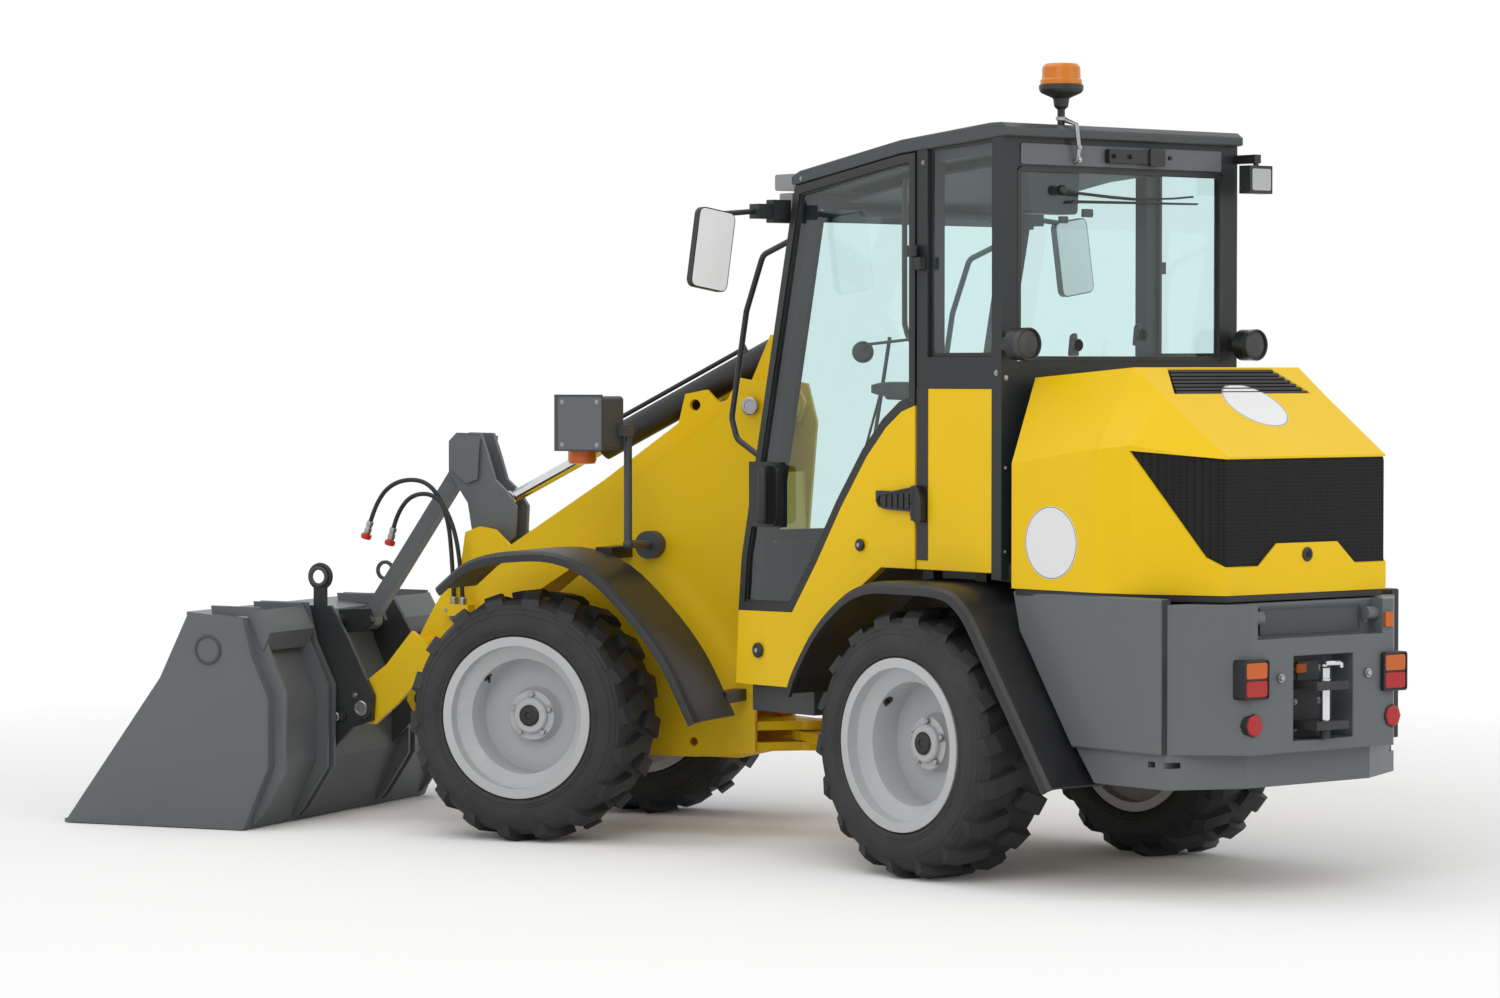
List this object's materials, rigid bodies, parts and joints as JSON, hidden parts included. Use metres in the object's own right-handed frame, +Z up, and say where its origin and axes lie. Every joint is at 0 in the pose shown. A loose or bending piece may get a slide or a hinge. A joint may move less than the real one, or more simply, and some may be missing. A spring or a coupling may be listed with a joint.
{
  "type": "compact articulated wheel loader",
  "caption": "Compact articulated wheel loader: cab and engine on the rear frame, boom with bucket on the front frame, open steering joint, doors, hood and rolling wheels.",
  "frame": {"origin": "on the ground under the middle of the machine's box as it stands, articulated to the left", "axes": "+X forward along the rear frame, +Y to the left, +Z up"},
  "size_m": [5.0444, 2.7088, 2.567],
  "materials": {
    "anthracite_paint": "satin",
    "bare_steel": "worn",
    "beacon_lens": "gloss",
    "black_plastic": "matte",
    "cast_iron": "rough",
    "chrome": "polished",
    "glass": "clear",
    "grey_paint": "satin",
    "hose_rubber": "matte",
    "lamp_lens": "gloss",
    "orange_paint": "gloss",
    "red_paint": "gloss",
    "seat_cover": "woven",
    "silver_paint": "satin",
    "tyre": "matte"
  },
  "bodies": {
    "rear_frame": {"rear_chassis": "orange_paint", "rear_axle": "anthracite_paint", "engine_block": "cast_iron", "counterweight": "grey_paint", "side_covers": "grey_paint", "tow_hitch": "cast_iron", "tail_lamps": "lamp_lens", "rear_fenders": "black_plastic", "side_tanks": "grey_paint", "cab_frame": "anthracite_paint", "cab_roof": "anthracite_paint", "side_panels": "orange_paint", "door_hinges": "anthracite_paint", "windscreen": "glass", "rear_window": "glass", "quarter_windows": "glass", "seat": "seat_cover", "dash": "black_plastic", "steering_wheel": "black_plastic", "console": "black_plastic", "beacon": "beacon_lens", "work_lights": "black_plastic", "mirrors": "black_plastic", "beacon_base": "black_plastic", "handrails": "black_plastic", "lock_bar": "red_paint"},
    "front_frame": {"front_chassis": "orange_paint", "front_axle": "anthracite_paint", "front_fenders": "black_plastic", "head_lamps": "black_plastic"},
    "hood": {"hood": "orange_paint", "grille": "black_plastic"},
    "door_left": {"door_left": "orange_paint", "door_left_frame": "black_plastic", "door_left_glass": "glass"},
    "door_right": {"door_right": "orange_paint", "door_right_frame": "black_plastic", "door_right_glass": "glass"},
    "steer_barrel": {"steer_barrel": "anthracite_paint"},
    "steer_rod": {"steer_rod": "chrome"},
    "boom": {"boom": "orange_paint", "boom_hoses": "hose_rubber", "hose_couplers": "bare_steel"},
    "lift_barrel": {"lift_barrel": "anthracite_paint"},
    "lift_rod": {"lift_rod": "chrome"},
    "tilt_lever": {"tilt_lever": "anthracite_paint"},
    "tilt_link": {"tilt_link": "anthracite_paint"},
    "tilt_barrel": {"tilt_barrel": "anthracite_paint"},
    "tilt_rod": {"tilt_rod": "chrome"},
    "bucket": {"quick_hitch": "orange_paint", "bucket": "grey_paint"},
    "wheel_rear_left": {"tyre_rear_left": "tyre", "rim_rear_left": "silver_paint"},
    "wheel_rear_right": {"tyre_rear_right": "tyre", "rim_rear_right": "silver_paint"},
    "wheel_front_left": {"tyre_front_left": "tyre", "rim_front_left": "silver_paint"},
    "wheel_front_right": {"tyre_front_right": "tyre", "rim_front_right": "silver_paint"}
  },
  "joints": [
    {"name": "hood_lift", "type": "hinge", "parent": "rear_frame", "child": "hood", "pos_m": [-1.65025, -0.45658, 1.552], "axis": [0, 1, 0], "range_deg": [0, 50]},
    {"name": "door_left_swing", "type": "hinge", "parent": "rear_frame", "child": "door_left", "pos_m": [-1.22025, 0.08042, 1.2], "axis": [0, 0, 1], "range_deg": [0, 90]},
    {"name": "door_right_swing", "type": "hinge", "parent": "rear_frame", "child": "door_right", "pos_m": [-1.22025, -0.99358, 1.2], "axis": [0, 0, -1], "range_deg": [0, 90]},
    {"name": "wheel_rear_left_spin", "type": "hinge", "parent": "rear_frame", "child": "wheel_rear_left", "pos_m": [-1.28225, 0.05242, 0.425], "axis": [0, 1, 0], "continuous": true},
    {"name": "wheel_rear_right_spin", "type": "hinge", "parent": "rear_frame", "child": "wheel_rear_right", "pos_m": [-1.28225, -0.96558, 0.425], "axis": [0, 1, 0], "continuous": true},
    {"name": "steer", "type": "hinge", "parent": "rear_frame", "child": "front_frame", "pos_m": [-0.06925, -0.45658, 0.455], "axis": [0, 0, 1], "range_deg": [-67.9, 12.1]},
    {"name": "steer_barrel_turn", "type": "hinge", "parent": "rear_frame", "child": "steer_barrel", "pos_m": [-0.34925, -0.57658, 0.455], "axis": [0, 0, 1], "range_deg": [-20.18, 3.76]},
    {"name": "steer_rod_slide", "type": "slide", "parent": "steer_barrel", "child": "steer_rod", "axis": [0.9765, 0.2153, 0], "range_m": [-0.11961, 0.02214]},
    {"name": "wheel_front_left_spin", "type": "hinge", "parent": "front_frame", "child": "wheel_front_left", "pos_m": [0.40666, 0.37134, 0.425], "axis": [-0.4679, 0.8838, 0], "continuous": true},
    {"name": "wheel_front_right_spin", "type": "hinge", "parent": "front_frame", "child": "wheel_front_right", "pos_m": [0.88301, -0.52833, 0.425], "axis": [-0.4679, 0.8838, 0], "continuous": true},
    {"name": "boom_lift", "type": "hinge", "parent": "front_frame", "child": "boom", "pos_m": [0.05183, -0.39248, 1.48], "axis": [0.4679, -0.8838, 0], "range_deg": [0, 84]},
    {"name": "lift_barrel_turn", "type": "hinge", "parent": "front_frame", "child": "lift_barrel", "pos_m": [0.29044, -0.26614, 0.4], "axis": [0.4679, -0.8838, 0], "range_deg": [-0.32325, 0.2]},
    {"name": "lift_rod_slide", "type": "slide", "parent": "lift_barrel", "child": "lift_rod", "axis": [0.0902, 0.0477, 0.9948], "range_m": [-0.001, 0.62577]},
    {"name": "bucket_tilt", "type": "hinge", "parent": "boom", "child": "bucket", "pos_m": [1.35096, 0.29538, 0.405], "axis": [-0.4679, 0.8838, 0], "range_deg": [-40, 90]},
    {"name": "tilt_lever_turn", "type": "hinge", "parent": "boom", "child": "tilt_lever", "pos_m": [0.99746, 0.10821, 0.99], "axis": [-0.4679, 0.8838, 0], "range_deg": [-40, 90]},
    {"name": "tilt_link_turn", "type": "hinge", "parent": "tilt_lever", "child": "tilt_link", "pos_m": [1.09025, 0.15734, 1.29], "axis": [-0.4679, 0.8838, 0], "range_deg": [-90, 40]},
    {"name": "tilt_barrel_turn", "type": "hinge", "parent": "boom", "child": "tilt_barrel", "pos_m": [0.00764, -0.41587, 1.69], "axis": [-0.4679, 0.8838, 0], "range_deg": [-3.07, 1.48]},
    {"name": "tilt_rod_slide", "type": "slide", "parent": "tilt_barrel", "child": "tilt_rod", "axis": [0.786, 0.4162, -0.4572], "range_m": [-0.08028, 0.17939]}
  ],
  "couplings": [
    {"joint": "steer_barrel_turn", "follows": "steer", "ratio": 0.29424},
    {"joint": "steer_rod_slide", "follows": "steer", "m_per_rad": 0.10009},
    {"joint": "lift_barrel_turn", "follows": "boom_lift", "ratio": -0.001467},
    {"joint": "lift_rod_slide", "follows": "boom_lift", "m_per_rad": 0.42615},
    {"joint": "tilt_lever_turn", "follows": "bucket_tilt", "ratio": 1},
    {"joint": "tilt_link_turn", "follows": "bucket_tilt", "ratio": -1},
    {"joint": "tilt_barrel_turn", "follows": "bucket_tilt", "ratio": -0.031896},
    {"joint": "tilt_rod_slide", "follows": "bucket_tilt", "m_per_rad": 0.11356}
  ]
}
